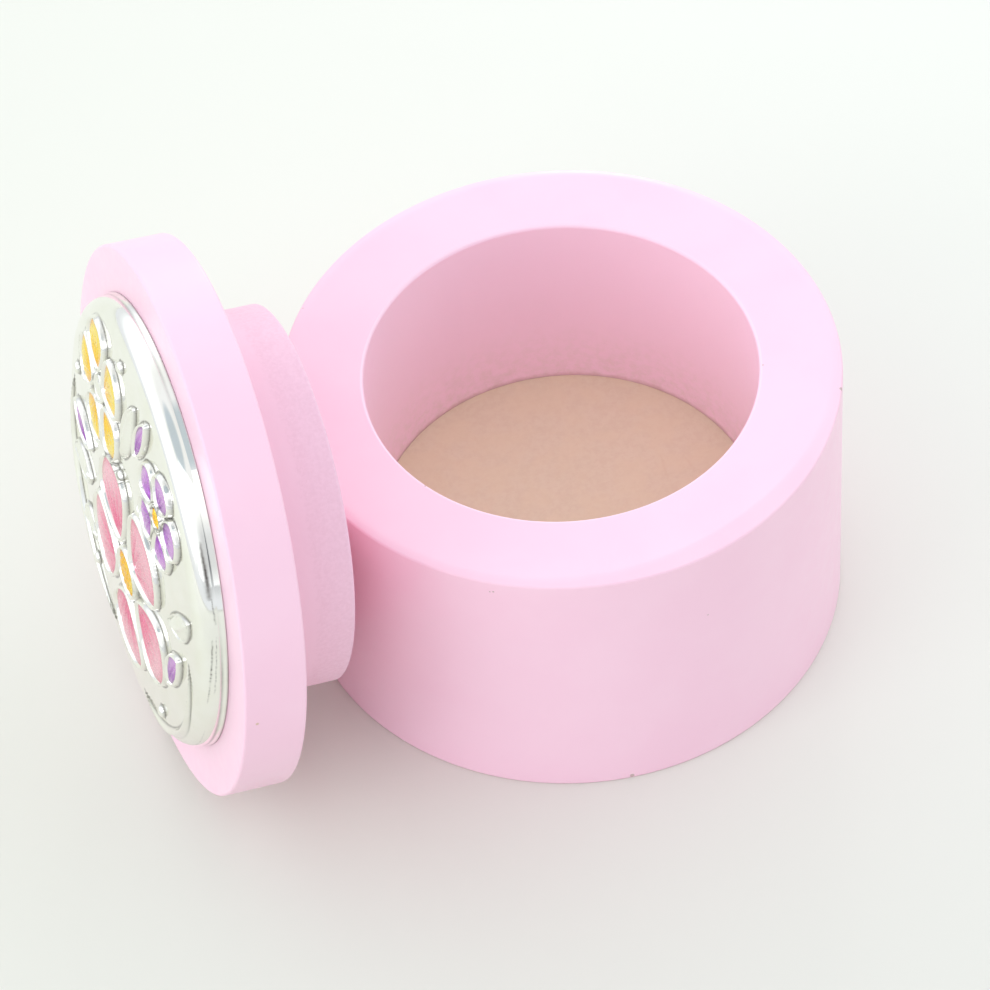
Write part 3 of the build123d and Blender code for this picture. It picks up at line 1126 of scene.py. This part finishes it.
def dress_silver(*pieces):
    """Polished silver with tarnish in its creases and streaks on its shoulder, and painted shade along
    the lip's creases.
    """
    silver = Shader("silver_polished", plaque_axes(), Metallic=1.0)
    smudge = silver.noise(3.0, 4)
    grit = silver.span(silver.noise(0.35, 3), 0.35, 0.6, 0.85, 1.0)
    dark = silver.times(silver.attribute("dark"), grit)
    colour = silver.mix(silver.span(smudge, 0.3, 0.7), SILVER, SILVER_WARM)
    silver.look(Base_Color=silver.mix(dark, colour, TARNISHED))
    polish = silver.span(smudge, 0.35, 0.7, 0.05, 0.11)
    silver.look(Roughness=silver.math("ADD", polish, silver.times(dark, 0.3)))
    normal = silver.bump(silver.noise(3.4, 2), 0.02, 0.3)
    silver.look(Normal=silver.bump(silver.noise(0.3, 2), 0.003, 0.3, normal))
    silver.finish(*pieces)


def dress_enamel(obj, name):
    """Clear coloured glass over grained metal: deep at the root and the edge, pale at the tip."""
    root, tip, rim = ENAMELS[name]
    sockets = {"Metallic": 0.75, "Coat_Weight": 0.4, "Coat_Roughness": 0.04}
    enamel = Shader(f"{name}_enamel_glossy", plaque_axes(), **sockets)
    along, edge = enamel.attribute("along"), enamel.attribute("edge")
    grain = enamel.cells(0.32)
    clouds = enamel.noise(1.8, 3)
    colour = enamel.mix(enamel.span(along, 0.3, 0.95), root, tip)
    colour = enamel.mix(enamel.span(edge, 0.7, 1.0, 0.0, 0.8), colour, rim)
    enamel.look(Base_Color=enamel.mix(enamel.span(clouds, 0.45, 0.7, 0.0, 0.35), colour, tip))
    enamel.look(Roughness=enamel.span(grain, 0.1, 0.6, 0.2, 0.32))
    enamel.look(Normal=enamel.bump(grain, 0.04, 0.7))
    enamel.finish(obj)


def dress_hidden():
    """The filler inside the plaque, which nothing shows from outside."""
    filler = Shader("filler_dull", Roughness=0.7)
    filler.look(Base_Color=filler.mix(filler.noise(2, 3), FILLER, FILLER_DARK))
    filler.finish(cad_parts["plaque_backing"])


# Camera, floor and light

FOCAL_PIXELS = 4491.03
FRAME_PIXELS = 990
SENSOR_WIDTH = 36.0
CAMERA_PLACE = (-99.42, -305.93, 388.05)
CAMERA_DOWN = 49.316
CAMERA_ROLL = -4.314
CAMERA_YAW = -16.579
TABLE_HALF = 4.0

# The light's tones from above, each side and the horizon, and a dimmer patch of ceiling with
# its direction; then where each fades into the next
SKY = {
    "zenith": (0.95, 0.97, 1.00),
    "back": (1.41, 1.47, 1.54),
    "right": (1.63, 1.69, 1.76),
    "front": (0.15, 0.16, 0.18),
    "left": (1.58, 1.65, 1.71),
}
HORIZON = (0.85, 0.89, 0.95)
CEILING = (0.58, 0.66, 0.74)
CEILING_PLACE = (-0.25, -0.05, 0.97)
HORIZON_FADE = (0.05, 0.4)
ZENITH_FADE = (0.55, 0.9)
CEILING_FADE = (0.93, 0.975)

# Soft boxes: name, place and size in metres, power and tint
LAMPS = [
    ("soft_box_left", (-1.1, -0.35, 0.6), 0.6, 2.0, (0.98, 1.0, 1.02)),
    ("soft_box_front", (-0.43, -0.92, 0.86), 1.35, 3.15, (0.98, 1.0, 1.03)),
    ("soft_box_back", (0.45, 1.1, 0.3), 0.2, 0.9, (1.0, 1.0, 1.0)),
]


def make_camera():
    """The photograph's camera: its place, its aim and its long lens."""
    data = bpy.data.cameras.new("camera")
    data.sensor_width = SENSOR_WIDTH
    data.lens = SENSOR_WIDTH * FOCAL_PIXELS / FRAME_PIXELS
    data.clip_start = 0.01
    data.clip_end = 50
    camera = placed("camera", data)
    turns = ((CAMERA_YAW, "Z"), (90 - CAMERA_DOWN, "X"), (CAMERA_ROLL, "Z"))
    turn, nod, roll = (Matrix.Rotation(math.radians(angle), 4, axis) for angle, axis in turns)
    camera.matrix_world = Matrix.Translation(Vector(CAMERA_PLACE) * MM) @ turn @ nod @ roll
    bpy.context.scene.camera = camera


def make_floor():
    """A wide pale table top, with painted shade making it a little deeper in tone to the left and near
    the camera, where the light falls off.
    """
    half = TABLE_HALF
    mesh = bpy.data.meshes.new("table_top")
    corners = [(-half, -half, 0), (half, -half, 0), (half, half, 0), (-half, half, 0)]
    mesh.from_pydata(corners, [], [(0, 1, 2, 3)])
    floor = placed("table_top", mesh)
    top = Shader("table_pale", Roughness=0.6, Specular_IOR_Level=0.2)
    colour = top.mix(top.noise(60, 2), TABLE, TABLE_CLOUD)
    # Painted shade: the table darkens to the left and near the camera, as the light falls off
    left = top.below(top.axis("X"), -110, 70)
    near = top.below(top.axis("Y"), -120, 10)
    colour = top.mix(left, colour, TABLE_SHADE_LEFT)
    top.look(Base_Color=top.mix(near, colour, TABLE_SHADE_NEAR))
    top.finish(floor)


def make_sky():
    """Soft light all round: overhead, each side, the horizon and a patch of ceiling."""
    world = bpy.data.worlds.new("studio")
    world.use_nodes = True
    sky = Tree(world.node_tree)
    way = sky.node("TexCoord", output="Generated")
    split = sky.nodes.new("ShaderNodeSeparateXYZ")
    sky.set(split, 0, way)
    x, y, z = split.outputs
    across, along = sky.times(x, x), sky.times(y, y)
    share = sky.math("DIVIDE", along, sky.math("MAXIMUM", sky.math("ADD", across, along), 1e-6))
    tones = {name: (*colour, 1.0) for name, colour in SKY.items()}
    side = sky.mix(sky.math("GREATER_THAN", x), tones["left"], tones["right"])
    end = sky.mix(sky.math("GREATER_THAN", y), tones["front"], tones["back"])
    around = sky.mix(sky.span(z, *HORIZON_FADE), (*HORIZON, 1.0), sky.mix(share, side, end))
    colour = sky.mix(sky.span(z, *ZENITH_FADE), around, tones["zenith"])
    near = sky.node("VectorMath", {0: way, 1: CEILING_PLACE}, output="Value", operation="DOT_PRODUCT")
    colour = sky.mix(sky.span(near, *CEILING_FADE), colour, (*CEILING, 1.0))
    sky.set(sky.nodes["Background"], "Color", colour)
    bpy.context.scene.world = world


def make_light():
    """Square soft boxes that look at the object, and pale light all round."""
    for name, place, size, power, colour in LAMPS:
        data = bpy.data.lights.new(name, "AREA")
        data.size = size
        data.energy = power
        data.color = colour
        light = placed(name, data)
        light.location = place
        light.rotation_mode = "QUATERNION"
        light.rotation_quaternion = (-Vector(place)).to_track_quat("-Z", "Y")
    make_sky()


ring, base = make_cup()
disc, plug, film = make_lid()
sheet, boss, pink, yellow, violet = make_plaque()
dress_ring(ring)
dress_base(base)
dress_disc(disc)
dress_plug(plug)
dress_film(film)
dress_silver(sheet, boss)
for fills, name in ((pink, "pink"), (yellow, "yellow"), (violet, "violet")):
    dress_enamel(fills, name)
dress_hidden()
make_camera()
make_floor()
make_light()
bpy.context.scene.view_settings.view_transform = "Standard"
